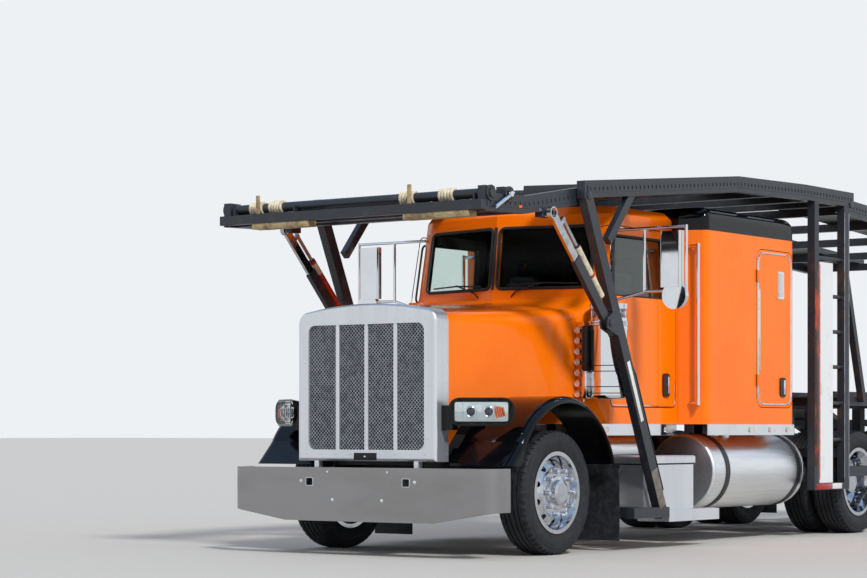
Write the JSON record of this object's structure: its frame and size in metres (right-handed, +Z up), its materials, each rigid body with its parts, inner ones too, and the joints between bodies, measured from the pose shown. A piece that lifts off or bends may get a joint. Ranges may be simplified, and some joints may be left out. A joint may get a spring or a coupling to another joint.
{
  "type": "car transporter truck",
  "caption": "Long-nosed sleeper tractor that carries cars itself: raked rack, tilting nose deck, fixed cab deck, lowering rear deck and low towing head.",
  "frame": {"origin": "on the ground under the middle of the truck's overall length, on its centre plane", "axes": "+Z up, -Y the way the truck drives, +X its left (driver's) side"},
  "size_m": [3.204, 9.67, 3.05],
  "materials": {
    "orange_paint": "gloss",
    "black_paint": "gloss",
    "frame_paint": "satin",
    "iron": "rough",
    "rack_paint": "satin, worn",
    "white_paint": "satin",
    "ram_steel": "polished",
    "polished_steel": "polished",
    "polished_rim": "polished",
    "tyre": "matte",
    "brushed_aluminium": "brushed",
    "grille_mesh": "matte",
    "clear_glass": "clear",
    "cab_plastic": "matte",
    "seat_fabric": "woven",
    "amber_lens": "gloss",
    "red_lens": "gloss",
    "flap_rubber": "matte"
  },
  "bodies": {
    "chassis": {"frame_rails": "frame_paint", "axles": "frame_paint", "powertrain": "iron", "radiator": "brushed_aluminium", "tanks": "brushed_aluminium", "tank_straps": "frame_paint", "battery_boxes": "brushed_aluminium", "bumper": "polished_steel", "cab": "orange_paint", "cab_roof": "orange_paint", "windshield": "clear_glass", "dashboard": "cab_plastic", "seats": "seat_fabric", "sleeper": "orange_paint", "sleeper_roof": "black_paint", "bright_trim": "polished_steel", "marker_lamps": "amber_lens", "air_cleaners": "polished_steel", "mud_flaps": "flap_rubber", "rack_legs": "rack_paint", "cab_deck": "rack_paint", "rack_posts": "rack_paint", "ladders": "white_paint", "lower_deck": "rack_paint", "tail_lamps": "red_lens"},
    "hood": {"hood": "orange_paint", "grille_surround": "polished_steel", "grille_screen": "grille_mesh", "fenders": "black_paint", "headlamp_pods": "black_paint", "headlamp_lenses": "clear_glass"},
    "door_left": {"door_left": "orange_paint", "door_glass_left": "clear_glass", "mirror_left": "polished_steel"},
    "hatch_left": {"sleeper_hatch_left": "orange_paint"},
    "knuckle_left": {"knuckle_left": "iron"},
    "wheel_front_left": {"rim_front_left": "polished_rim", "tyre_front_left": "tyre"},
    "wheels_drive1_left": {"rims_drive1_left": "polished_rim", "tyres_drive1_left": "tyre"},
    "wheels_drive2_left": {"rims_drive2_left": "polished_rim", "tyres_drive2_left": "tyre"},
    "door_right": {"door_right": "orange_paint", "door_glass_right": "clear_glass", "mirror_right": "polished_steel"},
    "hatch_right": {"sleeper_hatch_right": "orange_paint"},
    "knuckle_right": {"knuckle_right": "iron"},
    "wheel_front_right": {"rim_front_right": "polished_rim", "tyre_front_right": "tyre"},
    "wheels_drive1_right": {"rims_drive1_right": "polished_rim", "tyres_drive1_right": "tyre"},
    "wheels_drive2_right": {"rims_drive2_right": "polished_rim", "tyres_drive2_right": "tyre"},
    "front_deck": {"front_deck": "rack_paint"},
    "strut_sleeves": {"strut_sleeves": "rack_paint"},
    "strut_rods": {"strut_rods": "ram_steel"},
    "rear_deck": {"rear_deck": "rack_paint"},
    "rear_lift_barrels": {"rear_lift_barrels": "rack_paint"},
    "rear_lift_rods": {"rear_lift_rods": "ram_steel"}
  },
  "joints": [
    {"name": "hood_tilt", "type": "hinge", "parent": "chassis", "child": "hood", "pos_m": [0, -4.565, 0.6], "axis": [1, 0, 0], "range_deg": [0, 20]},
    {"name": "door_left_hinge", "type": "hinge", "parent": "chassis", "child": "door_left", "pos_m": [0.985, -2.735, 1.8], "axis": [0, 0, -1], "range_deg": [0, 60]},
    {"name": "hatch_left_hinge", "type": "hinge", "parent": "chassis", "child": "hatch_left", "pos_m": [1.21, -0.765, 1.79], "axis": [0, 0, -1], "range_deg": [0, 90]},
    {"name": "steer_left", "type": "hinge", "parent": "chassis", "child": "knuckle_left", "pos_m": [0.8, -3.665, 0.465], "axis": [0, 0, 1], "range_deg": [-35, 35]},
    {"name": "roll_front_left", "type": "hinge", "parent": "knuckle_left", "child": "wheel_front_left", "pos_m": [0.975, -3.665, 0.465], "axis": [1, 0, 0], "continuous": true},
    {"name": "roll_drive1_left", "type": "hinge", "parent": "chassis", "child": "wheels_drive1_left", "pos_m": [0.92, 1.185, 0.465], "axis": [1, 0, 0], "continuous": true},
    {"name": "roll_drive2_left", "type": "hinge", "parent": "chassis", "child": "wheels_drive2_left", "pos_m": [0.92, 2.485, 0.465], "axis": [1, 0, 0], "continuous": true},
    {"name": "door_right_hinge", "type": "hinge", "parent": "chassis", "child": "door_right", "pos_m": [-0.985, -2.735, 1.8], "axis": [0, 0, 1], "range_deg": [0, 60]},
    {"name": "hatch_right_hinge", "type": "hinge", "parent": "chassis", "child": "hatch_right", "pos_m": [-1.21, -0.765, 1.79], "axis": [0, 0, 1], "range_deg": [0, 90]},
    {"name": "steer_right", "type": "hinge", "parent": "chassis", "child": "knuckle_right", "pos_m": [-0.8, -3.665, 0.465], "axis": [0, 0, 1], "range_deg": [-35, 35]},
    {"name": "roll_front_right", "type": "hinge", "parent": "knuckle_right", "child": "wheel_front_right", "pos_m": [-0.975, -3.665, 0.465], "axis": [1, 0, 0], "continuous": true},
    {"name": "roll_drive1_right", "type": "hinge", "parent": "chassis", "child": "wheels_drive1_right", "pos_m": [-0.92, 1.185, 0.465], "axis": [1, 0, 0], "continuous": true},
    {"name": "roll_drive2_right", "type": "hinge", "parent": "chassis", "child": "wheels_drive2_right", "pos_m": [-0.92, 2.485, 0.465], "axis": [1, 0, 0], "continuous": true},
    {"name": "front_deck_lift", "type": "hinge", "parent": "chassis", "child": "front_deck", "pos_m": [0, -3.545, 2.68], "axis": [-1, 0, 0], "range_deg": [0, 15]},
    {"name": "strut_swing", "type": "hinge", "parent": "chassis", "child": "strut_sleeves", "pos_m": [0, -3.235, 1.74], "axis": [-1, 0, 0], "range_deg": [-0.2, 3.48]},
    {"name": "strut_slide", "type": "slide", "parent": "strut_sleeves", "child": "strut_rods", "axis": [0, -0.6979, 0.7162], "range_m": [-0.002, 0.1104]},
    {"name": "rear_deck_lower", "type": "hinge", "parent": "chassis", "child": "rear_deck", "pos_m": [0, 0.815, 2.942], "axis": [-1, 0, 0], "range_deg": [0, 12]},
    {"name": "rear_lift_swing", "type": "hinge", "parent": "chassis", "child": "rear_lift_barrels", "pos_m": [0, 3.535, 0.7], "axis": [1, 0, 0], "range_deg": [-0.2, 0.8]},
    {"name": "rear_lift_slide", "type": "slide", "parent": "rear_lift_barrels", "child": "rear_lift_rods", "axis": [0, -0.1611, -0.9869], "range_m": [-0.002, 0.6407]}
  ],
  "couplings": [
    {"joint": "steer_right", "follows": "steer_left", "ratio": 1},
    {"joint": "strut_swing", "follows": "front_deck_lift", "ratio": 0.2121},
    {"joint": "strut_slide", "follows": "front_deck_lift", "m_per_rad": 0.4101},
    {"joint": "rear_lift_swing", "follows": "rear_deck_lower", "ratio": 0.042},
    {"joint": "rear_lift_slide", "follows": "rear_deck_lower", "m_per_rad": 3.0447}
  ]
}
